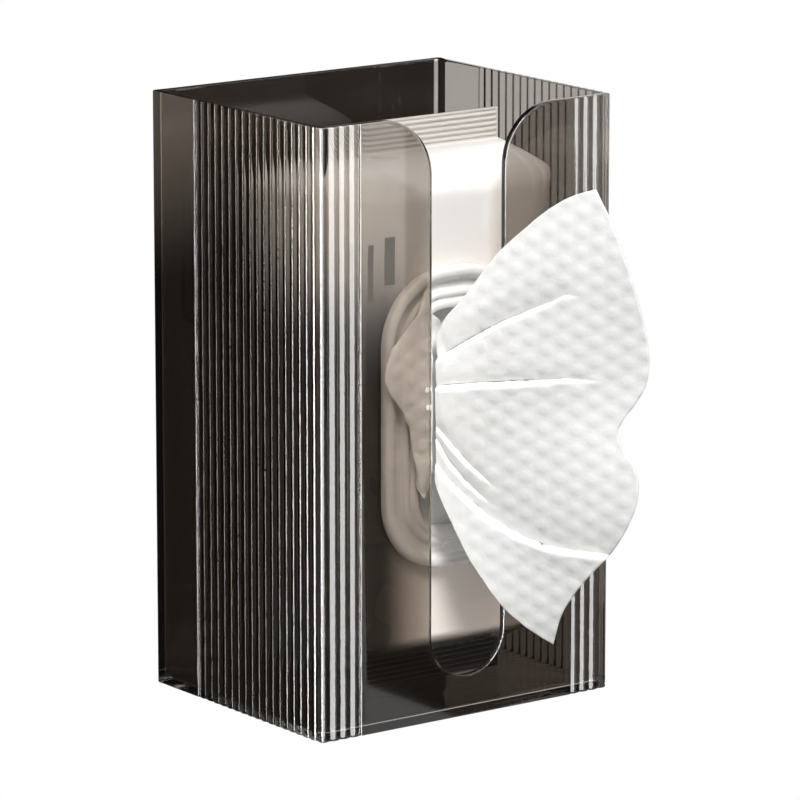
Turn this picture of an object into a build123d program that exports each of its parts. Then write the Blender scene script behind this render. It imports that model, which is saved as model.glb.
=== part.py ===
from build123d import *
import math
import os

# A wall dispenser for a soft pack of wipes: a clear fluted box that hangs on a wall plate,
# the pack that stands in it, and the wipe that is pulled out through the slot in its front.
# Millimetres. X is to the right, the wall is at Y = 0 and the front faces -Y, Z is up.
# The origin is the middle of the adhesive pad's face on the wall.

# Housing, one clear moulding that is open at the top
box_width = 120.0
box_depth = 97.0
box_height = 205.0
wall = 2.4
floor = 2.4
inner_corner = 2.0
flute_pitch = 4.0
flute_depth = 0.9
corner_rib_inset = 0.75
side_flutes = 17
front_flutes = 3

# Slot in the front wall, open at the top
slot_width = 30.0
slot_bottom = 14.0
slot_flare = 20.0

# Wall hardware
screw_spacing = 62.0
screw_hole = 2.25
pad_hole = 6.0
pad_beyond_hole = 3.0
pad_height = 56.0
pad_thickness = 1.0
pad_corner = 5.0
plate_margin = 2.0
plate_thickness = 2.4
tongue_stem = 24.0
tongue_head = 36.0
tongue_height = 40.0
stem_thickness = 2.2
head_thickness = 2.2
plate_below_rim = 55.0

# Hanger, bonded to the back of the housing, which slides down over the tongue
hanger_web = 1.6
hanger_rail = 5.0
hanger_cap = 4.0
hanger_lead = 1.5
slide_clearance = 0.3

# How far a cut runs past the faces that it opens
cut_beyond = 1.0

# Pack of wipes
pack_width = 102.0
pack_thickness = 56.0
pack_corner = 24.0
pack_base_gap = 0.4
pack_behind_front = 10.5
film = 0.6
crimp_width = 82.0
crimp_height = 10.5
crimp_thickness = 2.4
crimp_ridge = 1.8
crimp_ridges = 5
crimp_ridge_height = 0.35
crimp_ridge_inset = 0.5
shoulder_height = 10.0
shoulder_round = 3.0
body_height = 153.5

# Stiff oval frame round the pack's opening
frame_width = 58.0
frame_height = 102.0
frame_corner = 25.0
frame_middle = 101.0
frame_base = 1.2
frame_thickness = 3.6
outer_bead = 4.4
groove = 5.0
inner_bead = 5.0
inner_bead_drop = 0.4
bead_round = 1.2

# Folded wipes inside the pack
stack_clearance = 0.4
stack_end_clearance = 12.0
stack_round = 5.0

# Cloth between the stack and the slot, and the wipe that hangs out of it
cloth_gap = 0.4
throat_width = 20.0
throat_height = 56.0
throat_mouth_width = 16.0
throat_mouth_height = 46.0
throat_left = 2.0
neck_up = 107.0
lobe_thickness = 2.4
lobe_behind_panel = 0.8
lobe_left = 30.5
lobe_foot = 76.0
lobe_height = 76.0
neck_beside_slot = 1.6
neck_width = 7.0
neck_height = 46.0
neck_gap = 1.3
fan_start_in_slot = 1.2
fan_beside_slot = 2.4
fan_turn = 50.0
fan_reach = 71.5
fan_foot = 28.0
fan_height = 154.5
fold_depth = 1.25
cloth_thickness = 1.2
notch_round = 7.5
notch_from_edge = 1.5
notch_up = 101.0

# Corner radius of a soft outline, as a share of its thinner side
soft_corner = 0.45

# Places that follow from the sizes
pad_width = screw_spacing + 2 * (pad_hole + pad_beyond_hole)
plate_width = pad_width + 2 * plate_margin
plate_height = pad_height + 2 * plate_margin
plate_corner = pad_corner + plate_margin
plate_face = -pad_thickness - plate_thickness
head_back = plate_face - stem_thickness
head_front = head_back - head_thickness
web_back = head_front - slide_clearance
box_back = web_back - hanger_web
box_front = box_back - box_depth
rim = plate_below_rim
base = rim - box_height
floor_top = base + floor
side = box_width / 2
panel_back = box_front + wall
pack_base = floor_top + pack_base_gap
pack_front = box_front + pack_behind_front
pack_middle = pack_front + pack_thickness / 2
pack_height = 2 * crimp_height + 2 * shoulder_height + body_height
frame_up = base + frame_middle
frame_front = pack_front - frame_thickness
frame_band = outer_bead + groove + inner_bead
stack_front = pack_front + film + stack_clearance
neck_middle = neck_width / 2 + neck_beside_slot - slot_width / 2
throat_mouth_middle = -throat_left - (throat_width - throat_mouth_width) / 2
fan_root = fan_beside_slot - slot_width / 2
fan_front = box_front + fan_start_in_slot


def upright(x_size, y_size, height, x_middle, y_middle, z_low, corner=0.0):
    """A block that stands on z_low, with its four upright edges rounded."""
    outline = Rectangle(x_size, y_size) if corner <= 0 else RectangleRounded(x_size, y_size, corner)
    return Pos(x_middle, y_middle, z_low) * extrude(outline, height)


def facing(outline, y_front, thickness, z_middle, x_middle=0.0):
    """A flat outline that faces the front, from y_front towards the wall by thickness."""
    plane = Plane(origin=(x_middle, y_front, z_middle), x_dir=(1, 0, 0), z_dir=(0, -1, 0))
    return extrude(plane * outline, -thickness)


def fluted_outline():
    """The housing's outline from above: plain at the back and in the middle of the front, and
    half-round flutes elsewhere, each an arc that stands out of the valley line by flute_depth."""
    valley_x = side - flute_depth
    valley_y = box_front + flute_depth
    peak = flute_pitch / 2
    flutes_front = flute_pitch * (front_flutes + 1)
    flutes_side = flute_pitch * (side_flutes + 1)

    def half(sign):
        """One half of the outline, from the middle of the front round to the middle of the back."""
        panel_end = side - flutes_front
        run = [Line((0, box_front), (sign * panel_end, box_front))]
        run.append(Line((sign * panel_end, box_front), (sign * panel_end, valley_y)))
        for i in range(front_flutes):
            start = panel_end + i * flute_pitch
            run.append(ThreePointArc(
                (sign * start, valley_y),
                (sign * (start + peak), box_front),
                (sign * (start + flute_pitch), valley_y)))
        run.append(ThreePointArc(
            (sign * (side - flute_pitch), valley_y),
            (sign * (side - corner_rib_inset), box_front + corner_rib_inset),
            (sign * valley_x, box_front + flute_pitch)))
        for i in range(side_flutes):
            start = box_front + (i + 1) * flute_pitch
            run.append(ThreePointArc(
                (sign * valley_x, start),
                (sign * side, start + peak),
                (sign * valley_x, start + flute_pitch)))
        band = box_front + flutes_side
        run.append(Line((sign * valley_x, band), (sign * side, band)))
        run.append(Line((sign * side, band), (sign * side, box_back)))
        run.append(Line((sign * side, box_back), (0, box_back)))
        return run

    return make_face(half(1) + half(-1))


def slot_outline():
    """The slot seen from the front: round at the bottom, straight, then flared out to the rim."""
    half = slot_width / 2
    turn = base + slot_bottom + half
    flare = rim - slot_flare
    bow = slot_flare * (1 - math.sqrt(0.5))
    above = rim + slot_flare
    wide = half + slot_flare
    edges = [
        ThreePointArc((-half, turn), (0, turn - half), (half, turn)),
        Line((half, turn), (half, flare)),
        ThreePointArc((half, flare), (half + bow, rim - bow), (wide, rim)),
        Line((wide, rim), (wide, above)),
        Line((wide, above), (-wide, above)),
        Line((-wide, above), (-wide, rim)),
        ThreePointArc((-wide, rim), (-half - bow, rim - bow), (-half, flare)),
        Line((-half, flare), (-half, turn)),
    ]
    return Plane.XZ * make_face(edges)


def make_housing():
    """The clear box: a fluted outline drawn up, hollowed from above and slotted in front."""
    shell = Pos(0, 0, base) * extrude(fluted_outline(), box_height)
    inside_width = box_width - 2 * wall
    inside_depth = box_depth - 2 * wall
    middle = (box_front + box_back) / 2
    hollow = upright(inside_width, inside_depth, box_height, 0, middle, floor_top, inner_corner)
    cut = Pos(0, panel_back + cut_beyond, 0) * extrude(slot_outline(), wall + 2 * cut_beyond)
    return shell - hollow - cut


def make_hanger():
    """The bonded channel: a web on the housing, two lipped rails and a cap that rests on the tongue."""
    rail_gap = tongue_head / 2 + slide_clearance
    width = 2 * (rail_gap + hanger_rail)
    low = -tongue_height / 2
    height = tongue_height + slide_clearance + hanger_cap
    lip_back = plate_face - slide_clearance
    body = upright(width, lip_back - box_back, height, 0, (lip_back + box_back) / 2, low)
    head_depth = head_thickness + 2 * slide_clearance
    head_room = upright(2 * rail_gap, head_depth, tongue_height, 0, web_back + head_depth / 2, low)
    stem_gap = tongue_stem / 2 + slide_clearance
    stem_room = upright(2 * stem_gap, stem_thickness + slide_clearance, tongue_height, 0,
                        head_back + (stem_thickness + slide_clearance) / 2 - slide_clearance, low)
    channel = body - head_room - stem_room
    edges = channel.edges().filter_by(Axis.Y).group_by(Axis.Z)[-1]
    return fillet(edges, hanger_lead)


def make_wall_plate():
    """The plate on the wall, with two screw holes and the T-shaped tongue that carries the housing."""
    outline = RectangleRounded(plate_width, plate_height, plate_corner)
    plate = facing(outline, plate_face, plate_thickness, 0)
    low = -tongue_height / 2
    stem = upright(tongue_stem, stem_thickness, tongue_height, 0, plate_face - stem_thickness / 2, low)
    head = upright(tongue_head, head_thickness, tongue_height, 0, head_back - head_thickness / 2, low)
    body = plate + stem + head
    for x in (-screw_spacing / 2, screw_spacing / 2):
        body -= facing(Circle(screw_hole), plate_face - cut_beyond, plate_thickness + 2 * cut_beyond, 0, x)
    return body


def make_pad():
    """The double-sided foam pad, cut clear of the two screws."""
    outline = RectangleRounded(pad_width, pad_height, pad_corner)
    pad = facing(outline, -pad_thickness, pad_thickness, 0)
    for x in (-screw_spacing / 2, screw_spacing / 2):
        pad -= facing(Circle(pad_hole), -pad_thickness - cut_beyond, pad_thickness + 2 * cut_beyond, 0, x)
    return pad


def pack_sections(inset):
    """The pack's outline at each height: thin at the crimps, full over the body, and inset inwards."""
    foot = pack_base + crimp_height
    top = foot + 2 * shoulder_height + body_height
    # Share of the shoulder's height, width and thickness
    steps = [
        (0.0, crimp_width, crimp_thickness),
        (0.3, (crimp_width + pack_width) / 2, 0.62 * pack_thickness),
        (0.72, pack_width - shoulder_round, pack_thickness - shoulder_round),
        (1.3, pack_width, pack_thickness),
    ]
    lower = [(foot + inset + share * shoulder_height, w, t) for share, w, t in steps]
    upper = [(top - inset - share * shoulder_height, w, t) for share, w, t in reversed(steps)]
    faces = []
    for z, w, t in lower + upper:
        width = w - 2 * inset
        thick = t - 2 * inset
        corner = min(pack_corner, soft_corner * thick)
        faces.append(Pos(0, pack_middle, z) * RectangleRounded(width, thick, corner))
    return faces


def crimp(z_low):
    """One welded end of the film, with pressed ridges across it on both faces."""
    fin = upright(crimp_width, crimp_thickness, crimp_height, 0, pack_middle, z_low)
    ridge_width = crimp_width - 2 * crimp_ridge_inset
    ridge_thickness = crimp_thickness + 2 * crimp_ridge_height
    ridge_height = crimp_ridge / 2
    first = z_low + (crimp_height - (2 * crimp_ridges - 1) * ridge_height) / 2
    for i in range(crimp_ridges):
        up = first + i * crimp_ridge
        fin += upright(ridge_width, ridge_thickness, ridge_height, 0, pack_middle, up)
    return fin


def opening_cut():
    """The hole that the frame's opening and the film share."""
    across = frame_width - 2 * frame_band
    tall = frame_height - 2 * frame_band
    hole = RectangleRounded(across, tall, frame_corner - frame_band)
    return facing(hole, frame_front - cut_beyond, frame_thickness + film + 2 * cut_beyond, frame_up)


def make_pouch():
    """The film pouch: a hollow loft with a crimp at each end and the opening in its front."""
    outer = loft(pack_sections(0.0), ruled=True)
    inner = loft(pack_sections(film), ruled=True)
    top = pack_base + pack_height - crimp_height
    return outer - inner - opening_cut() + crimp(pack_base) + crimp(top)


def band(width, height, corner, across, thickness):
    """A closed band that follows the oval, across wide and thickness proud of the pack."""
    outside = RectangleRounded(width, height, corner)
    inside = RectangleRounded(width - 2 * across, height - 2 * across, corner - across)
    return facing(outside - inside, pack_front - thickness, thickness, frame_up)


def make_frame():
    """The stiff oval frame: a thin base with a round bead at its outer and inner edges."""
    base_ring = band(frame_width, frame_height, frame_corner, frame_band, frame_base)
    outer = band(frame_width, frame_height, frame_corner, outer_bead, frame_thickness)
    step = outer_bead + groove
    inner = band(frame_width - 2 * step, frame_height - 2 * step, frame_corner - step, inner_bead,
                 frame_thickness - inner_bead_drop)
    outer_top = outer.edges().group_by(Axis.Y)[0]
    inner_top = inner.edges().group_by(Axis.Y)[0]
    return base_ring + fillet(outer_top, bead_round) + fillet(inner_top, bead_round)


def make_stack():
    """The folded wipes, one soft block that fills the pouch."""
    thick = pack_thickness - 2 * film - 2 * stack_clearance
    width = pack_width - 2 * film - 2 * stack_clearance
    low = pack_base + crimp_height + stack_end_clearance
    height = 2 * shoulder_height + body_height - 2 * stack_end_clearance
    block = upright(width, thick, height, 0, pack_middle, low, pack_corner)
    return fillet(block.edges().group_by(Axis.Z)[0] + block.edges().group_by(Axis.Z)[-1], stack_round)


def make_next_wipe():
    """The gathered cloth inside: out of the opening, to the left behind the panel, and to the slot."""
    start = stack_front - cloth_gap
    lobe_front = panel_back + lobe_behind_panel
    lobe_back = lobe_front + lobe_thickness

    def gathered(width, height, y, x):
        outline = RectangleRounded(width, height, soft_corner * width)
        return Plane(origin=(x, y, base + neck_up), x_dir=(1, 0, 0), z_dir=(0, -1, 0)) * outline

    throat = loft([
        gathered(throat_width, throat_height, start, -throat_left),
        gathered(throat_mouth_width, throat_mouth_height, lobe_back, throat_mouth_middle),
    ], ruled=True)
    # Shares of the lobe's reach to the left and of its height
    hang = [
        (0.0, 0.91), (0.26, 1.0), (0.43, 1.0), (0.56, 0.88), (0.75, 0.76), (0.97, 0.68), (1.0, 0.62),
        (0.89, 0.5), (0.70, 0.355), (0.64, 0.18), (0.61, 0.04), (0.33, 0.0), (0.0, 0.1),
    ]
    points = [(-x * lobe_left, lobe_foot + z * lobe_height) for x, z in hang]
    outline = make_face(Polyline(points, close=True))
    lobe = facing(outline, lobe_front, lobe_thickness, base)
    neck = loft([
        gathered(throat_mouth_width, throat_mouth_height, lobe_back, throat_mouth_middle),
        gathered(neck_width, neck_height, fan_front + neck_gap, neck_middle),
    ], ruled=True)
    return throat + lobe + neck


def fan_plane(out, up, x_dir, z_dir):
    """A plane at a distance out along the fan from the slot, and up from the housing's foot."""
    turn = math.radians(fan_turn)
    place = (fan_root + out * math.cos(turn), fan_front - out * math.sin(turn), base + up)
    return Plane(origin=place, x_dir=x_dir, z_dir=z_dir)


def fan_section(out, low, high, deep):
    """A folded strip across the fan, at a share of its reach, between two shares of its height. Its
    folds stand out towards the viewer by shares of the fold depth."""
    turn = math.radians(fan_turn)
    # Share of the strip's height, and how far it stands out there in fold depths
    folds = [
        (0.0, 0.8), (0.10, 0.2), (0.20, 0.9), (0.27, 0.3), (0.34, 1.8), (0.48, 2.8),
        (0.60, 2.4), (0.65, -2.2), (0.80, -0.8), (0.90, 1.4), (1.0, 1.0),
    ]
    towards = (-math.sin(turn), -math.cos(turn), 0)
    plane = fan_plane(out * fan_reach, fan_foot, towards, (-math.cos(turn), math.sin(turn), 0))
    half = cloth_thickness / 2
    near, far = [], []
    for share, bend in folds:
        up = (low + share * (high - low)) * fan_height
        stand = bend * deep * fold_depth
        near.append((stand + half, up))
        far.append((stand - half, up))
    return plane * make_face(Polyline([*near, *reversed(far)], close=True))


def make_leading_wipe():
    """The wipe that hangs out: a fan of cloth that opens from the slot, with its main folds."""
    # Share of the reach, lower and upper edge as shares of the height, and share of the folds
    stations = [
        (0.0, 0.356, 0.660, 0.12), (0.084, 0.252, 0.731, 0.35), (0.196, 0.155, 0.803, 0.6),
        (0.364, 0.061, 0.887, 0.9), (0.552, 0.0, 0.961, 1.2), (0.657, 0.117, 0.99, 1.3),
        (0.769, 0.188, 1.0, 1.3), (0.909, 0.298, 0.828, 1.2), (1.0, 0.362, 0.693, 1.1),
    ]
    fan = loft([fan_section(*station) for station in stations], ruled=True)
    turn = math.radians(fan_turn)
    through = (math.sin(turn), math.cos(turn), 0)
    notch = fan_plane(fan_reach - notch_from_edge, notch_up, (0, 0, 1), through) * Circle(notch_round)
    return fan - extrude(notch, 2 * notch_round, both=True)


pieces = {
    "housing": make_housing(),
    "hanger_channel": make_hanger(),
    "wall_plate": make_wall_plate(),
    "adhesive_pad": make_pad(),
    "refill_pouch": make_pouch(),
    "opening_frame": make_frame(),
    "wipe_stack": make_stack(),
    "next_wipe": make_next_wipe(),
    "leading_wipe": make_leading_wipe(),
}

os.makedirs("parts", exist_ok=True)
for name, shape in pieces.items():
    export_step(shape, "parts/" + name + ".step")
    size = shape.bounding_box().size
    print(f"{name}: {len(shape.solids())} solid, {shape.volume / 1000:.2f} cm3, "
          f"{size.X:.1f} x {size.Y:.1f} x {size.Z:.1f} mm, valid {shape.is_valid}")
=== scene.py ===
# %% [markdown]
# # A clear wall dispenser for wipes
# The real thing is a smoke-brown box with half-round flutes, open at the top, that hangs on a wall.
# A soft pack stands in it, and its wipes come out through a tall slot in the front.
# The parts that carry and fasten come from the fixed frame. Each visible surface is worked out here.

# %% Load the frame
import math
import bmesh
import bpy
import numpy as np
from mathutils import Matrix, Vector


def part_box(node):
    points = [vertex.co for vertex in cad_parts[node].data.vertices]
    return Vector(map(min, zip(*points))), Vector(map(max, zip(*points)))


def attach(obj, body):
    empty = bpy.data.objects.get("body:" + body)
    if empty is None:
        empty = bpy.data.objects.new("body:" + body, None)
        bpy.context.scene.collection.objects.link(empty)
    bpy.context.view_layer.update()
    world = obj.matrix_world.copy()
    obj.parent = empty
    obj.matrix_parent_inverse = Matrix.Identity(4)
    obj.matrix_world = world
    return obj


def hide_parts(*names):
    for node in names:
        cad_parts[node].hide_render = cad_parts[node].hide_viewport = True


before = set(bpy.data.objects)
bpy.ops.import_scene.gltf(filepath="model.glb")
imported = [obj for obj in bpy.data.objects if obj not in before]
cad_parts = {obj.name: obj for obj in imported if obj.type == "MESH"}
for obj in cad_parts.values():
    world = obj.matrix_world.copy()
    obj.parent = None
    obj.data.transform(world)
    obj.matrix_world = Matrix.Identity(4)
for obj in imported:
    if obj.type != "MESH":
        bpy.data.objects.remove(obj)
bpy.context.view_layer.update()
print("frame", len(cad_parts), "nodes")

# %% [markdown]
# ## Measures
# One millimetre is 0.001 of Blender's units. Three directions are used all through: x to the right,
# y towards the wall, z up. The housing's box in the frame gives the planes that everything stands on.

# %% Measures from the frame
MM = 0.001


def in_mm(corners):
    """The lowest and highest corner of a box, in millimetres."""
    return [np.array(corner) / MM for corner in corners]


house_low, house_high = in_mm(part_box("housing"))
BOX_WIDTH, BOX_DEPTH, BOX_HEIGHT = house_high - house_low
FRONT, BACK = house_low[1], house_high[1]
BASE, RIM = house_low[2], house_high[2]
SIDE = BOX_WIDTH / 2
MIDDLE = (0.0, (FRONT + BACK) / 2, (BASE + RIM) / 2)
WALL = 2.4
FLOOR = 2.4
print("housing in millimetres", BOX_WIDTH.round(1), BOX_DEPTH.round(1), BOX_HEIGHT.round(1))

# %% [markdown]
# ## Camera
# The photograph is taken with a long lens from the front left, a little above the box, so upright
# lines stay almost parallel. Its place, turn and lens were worked out from the box's corners and not
# by eye, so that proportions can be compared point by point.

# %% Camera
CAMERA_TURN = -36.318
CAMERA_UP = 12.371
CAMERA_PLACE = (-1100.8, -1459.3 + FRONT, 509.0 + BASE)
CAMERA_LENS = 254.45
SENSOR = 36.0
CAMERA_REACH = 20.0


def add_camera():
    """A camera turned about the upright and then tipped down."""
    data = bpy.data.cameras.new("camera")
    data.lens = CAMERA_LENS
    data.sensor_width = SENSOR
    data.clip_end = CAMERA_REACH
    camera = bpy.data.objects.new("camera", data)
    camera.location = [v * MM for v in CAMERA_PLACE]
    camera.rotation_euler = (math.radians(90 - CAMERA_UP), 0, math.radians(CAMERA_TURN))
    bpy.context.scene.collection.objects.link(camera)
    bpy.context.scene.camera = camera


add_camera()
print("camera", CAMERA_LENS, "mm lens")

# %% [markdown]
# ## Light
# A clear box shows what surrounds it. The real one hangs on a dark wall and is lit from the front, so
# its plain faces look dark and its flutes catch narrow bright lines. A studio gets the same with
# dark cards where the plain faces mirror, and lamps where only the flutes do.
#
# ### World
# The world has to look white behind the object, but a world that bright would wash out cloth and film.
# So matt surfaces get a weaker one, and whatever sees it, straight or by gloss and glass, a white one.

# %% World
WORLD_LEVEL = 0.33
WORLD_TINT = (1.0, 0.99, 0.975)
WHITE = (1.0, 1.0, 1.0)
BEFORE_MATT = 0.5


def set_inputs(tree, node, inputs):
    """Gives a node's inputs, by name or number, a number, a colour or another node's output."""
    for title, value in inputs.items():
        if isinstance(value, bpy.types.NodeSocket):
            tree.links.new(value, node.inputs[title])
        else:
            node.inputs[title].default_value = (*value, 1) if isinstance(value, tuple) else value


def add_node(tree, kind, inputs=None, **settings):
    """A new node. Its settings come first, because some of them decide which inputs it has."""
    node = tree.nodes.new(kind)
    for name, value in settings.items():
        setattr(node, name, value)
    set_inputs(tree, node, inputs or {})
    return node


def math_node(tree, kind, *values):
    """What a Math node makes of its values."""
    return add_node(tree, "ShaderNodeMath", dict(enumerate(values)), operation=kind).outputs[0]


def mix_shaders(tree, share, first, second):
    """The first shader where share is 0, the second where it is 1."""
    return add_node(tree, "ShaderNodeMixShader", {0: share, 1: first, 2: second}).outputs[0]


def light_path_white(tree, plain, bright):
    """Camera, glossy and glass rays see the bright shader, unless they met a matt surface on their
    way: light that falls on cloth through glass stays plain."""
    path = tree.nodes.new("ShaderNodeLightPath")
    share = path.outputs["Is Camera Ray"]
    for kind in ("Is Glossy Ray", "Is Transmission Ray"):
        share = math_node(tree, "MAXIMUM", share, path.outputs[kind])
    direct = math_node(tree, "LESS_THAN", path.outputs["Diffuse Depth"], BEFORE_MATT)
    return mix_shaders(tree, math_node(tree, "MULTIPLY", share, direct), plain, bright)


def add_world():
    """A world that lights at a plain level and looks white where it is seen."""
    world = bpy.data.worlds.new("studio")
    bpy.context.scene.world = world
    world.use_nodes = True
    tree = world.node_tree
    tree.nodes.clear()
    plain, bright = (add_node(tree, "ShaderNodeBackground", {"Color": tint, "Strength": strength}).outputs[0]
                     for tint, strength in ((WORLD_TINT, WORLD_LEVEL), (WHITE, 1.0)))
    add_node(tree, "ShaderNodeOutputWorld", {"Surface": light_path_white(tree, plain, bright)})


add_world()
print("world level", WORLD_LEVEL)

# %% [markdown]
# ### Lamps
# A large lamp high up on the left gives the cloth its soft shade, and a weak one above lights the
# pack's top. More power there would wash out the cloth before the flutes shine, so three more lamps
# are seen by gloss alone, each where one stretch of flutes mirrors it.

# %% Lamps
CORNER = (-SIDE, FRONT, MIDDLE[2])


def add_lamp(name, place, aim, size, power, gloss_only=False):
    """A rectangular lamp that points from place to aim, in millimetres. Power is in watts."""
    data = bpy.data.lights.new(name, "AREA")
    data.shape = "RECTANGLE"
    data.size, data.size_y = (v * MM for v in size)
    data.energy = power
    lamp = bpy.data.objects.new(name, data)
    start = np.array(place, float)
    way = np.array(aim, float) - start
    across = math.atan2(way[1], way[0])
    down = math.atan2(np.hypot(way[0], way[1]), -way[2])
    lamp.location = start * MM
    lamp.rotation_euler = (down, 0, across - math.pi / 2)
    lamp.visible_camera = False
    lamp.visible_diffuse = not gloss_only
    lamp.visible_transmission = not gloss_only
    bpy.context.scene.collection.objects.link(lamp)
    print("lamp", name, power, "W")


add_lamp("key", (-750, -2096, 2820), MIDDLE, (1125, 1125), 152.0)
add_lamp("top", (0, 100, 1100), MIDDLE, (700, 700), 1.5)
add_lamp("front_flutes", (-300, FRONT - 760, 20), CORNER, (1000, 1500), 60.0, gloss_only=True)
add_lamp("corner_flutes", (-185, FRONT - 60, MIDDLE[2]), CORNER, (110, 700), 6.0, gloss_only=True)
add_lamp("side_flutes", (-830, FRONT - 210, MIDDLE[2]), CORNER, (320, 1400), 9.0, gloss_only=True)

# %% [markdown]
# ### Floor
# The box hangs on a wall, so the floor is only a pale surface far below it. A white diffuse plane
# would throw light up into the folds and flatten them; this one looks white and throws back little.

# %% Floor
GROUND_DROP = 420.0
GROUND_HALF = 6000.0
GROUND_TONE = (0.25, 0.25, 0.245)


def stage_sheet(name, corners, material):
    """A flat stage piece with four corners in millimetres."""
    mesh = bpy.data.meshes.new(name)
    mesh.from_pydata([[v * MM for v in corner] for corner in corners], [], [(0, 1, 2, 3)])
    mesh.materials.append(material)
    sheet = bpy.data.objects.new(name, mesh)
    bpy.context.scene.collection.objects.link(sheet)
    return sheet


def new_material(name, kind="ShaderNodeBsdfPrincipled", inputs=None):
    """A material with one shader, and its tree, shader and output."""
    material = bpy.data.materials.new(name)
    material.use_nodes = True
    tree = material.node_tree
    tree.nodes.clear()
    shader = add_node(tree, kind, inputs)
    out = add_node(tree, "ShaderNodeOutputMaterial", {"Surface": shader.outputs[0]})
    return material, tree, shader, out


def add_floor():
    """A level square that looks white but throws back only the ground's own tone."""
    material, tree, bright, out = new_material("pale_floor", "ShaderNodeEmission", {"Color": WHITE})
    plain = add_node(tree, "ShaderNodeBsdfDiffuse", {"Color": GROUND_TONE})
    set_inputs(tree, out, {"Surface": light_path_white(tree, plain.outputs[0], bright.outputs[0])})
    half, z = GROUND_HALF, BASE - GROUND_DROP
    stage_sheet("floor", [(-half, -half, z), (half, -half, z), (half, half, z), (-half, half, z)], material)


add_floor()
print("floor", GROUND_DROP, "mm below the box")

# %% [markdown]
# ### A mask between two planes
# Cards and film both change tone slowly from place to place. The ends of a gradient texture are hard
# to place, so one node group makes a mask that rises between two plain distances along x or z.

# %% Node group for ramps


def group_of(name, inputs, output, kind="NodeSocketFloat"):
    """An empty shader group with named number inputs and one named output."""
    group = bpy.data.node_groups.new(name, "ShaderNodeTree")
    for title, value in inputs.items():
        made = group.interface.new_socket(title, in_out="INPUT", socket_type="NodeSocketFloat")
        made.default_value = value
    group.interface.new_socket(output, in_out="OUTPUT", socket_type=kind)
    return group, group.nodes.new("NodeGroupInput"), group.nodes.new("NodeGroupOutput")


def place_group(tree, group, **values):
    """Puts a node group into a tree with its own values, and gives its output."""
    return add_node(tree, "ShaderNodeGroup", values, node_tree=group).outputs[0]


def object_place(tree):
    """The point's place on the object."""
    return tree.nodes.new("ShaderNodeTexCoord").outputs["Object"]


def ramp_group():
    """With d = Across times x plus Up times z, the mask is the smooth step of (d - From) / (To - From)."""
    group, source, out = group_of("ramp", {"Across": 0.0, "Up": 0.0, "From": 0.0, "To": 1.0}, "Mask")
    axes = add_node(group, "ShaderNodeSeparateXYZ", {0: object_place(group)})
    across = math_node(group, "MULTIPLY", axes.outputs["X"], source.outputs["Across"])
    up = math_node(group, "MULTIPLY", axes.outputs["Z"], source.outputs["Up"])
    span = add_node(group, "ShaderNodeMapRange", {
        "Value": math_node(group, "ADD", across, up), "From Min": source.outputs["From"],
        "From Max": source.outputs["To"]}, interpolation_type="SMOOTHSTEP")
    set_inputs(group, out, {"Mask": span.outputs["Result"]})
    return group


def blend_colours(tree, share, first, second):
    """A colour that goes from first to second as share goes from 0 to 1."""
    ends = {"Factor": share, "A": first, "B": second}
    return add_node(tree, "ShaderNodeMix", ends, data_type="RGBA").outputs["Result"]


def by_height(tree, foot, top, lower, upper):
    """A colour that changes slowly from lower at the height foot to upper at top, in millimetres."""
    mask = place_group(tree, RAMP, Up=1.0, From=foot * MM, To=top * MM)
    return blend_colours(tree, mask, lower, upper)


RAMP = ramp_group()
print("group", RAMP.name)

# %% [markdown]
# ### Cards
# A photographer hangs dark cloth beside a glossy thing to keep its faces dark. Here dark cards stand
# at the wall and on both sides, one of them pale at its top, and a bright veil far to the right
# lifts the front panel from its foot upwards. Only gloss and glass see them, so that cloth and film
# keep their colours, and the veil and the card beside the plain band are for gloss alone.

# %% Cards
DARK_CARD = (0.050, 0.042, 0.036)
PALE_CARD = (0.85, 0.72, 0.60)
GREY_CARD = (0.30, 0.28, 0.26)
VEIL_CARD = (1.0, 0.97, 0.94)
CARD_WALL = 20.0
CARD_FAR = 900.0
VEIL_PLACE = -848.0
BAND_CARD = FRONT + 74


def add_card(name, start, end, heights, lower, upper=None, fade=(BASE + 130, BASE + 195), strength=1.0,
             through_glass=True):
    """An upright card between two places in x and y, of one tone or changing over fade to upper."""
    material, tree, glow, _ = new_material(name, "ShaderNodeEmission", {"Strength": strength})
    set_inputs(tree, glow, {"Color": by_height(tree, *fade, lower, upper) if upper else lower})
    low, high = heights
    card = stage_sheet(name, [(*start, low), (*end, low), (*end, high), (*start, high)], material)
    card.visible_camera = False
    card.visible_diffuse = False
    card.visible_shadow = False
    card.visible_transmission = through_glass
    print("card", name)


add_card("wall_card", (-62, CARD_WALL), (85, CARD_WALL), (-900, 700), DARK_CARD)
add_card("side_card", (-CARD_FAR, CARD_WALL), (-62, CARD_WALL), (-900, 700), DARK_CARD, PALE_CARD)
add_card("beside_card", (85, CARD_WALL), (CARD_FAR, CARD_WALL), (-900, -20), GREY_CARD)
add_card("left_card", (-CARD_FAR, -700), (-CARD_FAR, CARD_WALL), (-1000, 900), DARK_CARD)
add_card("right_card", (CARD_FAR, -1800), (CARD_FAR, CARD_WALL), (-1000, 300), DARK_CARD)
add_card("panel_veil", (300, VEIL_PLACE), (520, VEIL_PLACE), (-260, 500), DARK_CARD, VEIL_CARD,
         fade=(BASE - 85, BASE - 15), strength=2.3, through_glass=False)
add_card("band_card", (-62, BAND_CARD), (-190, BAND_CARD), (BASE - 20, RIM + 60), DARK_CARD,
         through_glass=False)
bpy.context.scene.view_settings.view_transform = "Standard"

# %% [markdown]
# ## Surfaces as arrays
# Each new piece is a grid of points, worked out as whole arrays, and quads between neighbours on the
# grid. A ring of points closes on itself, and a ring at either end is closed by a fan to one point.
# It could be modelled by hand, but a formula can be read, changed and measured.

# %% Helpers for surfaces
MERGE = 1e-6


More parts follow.
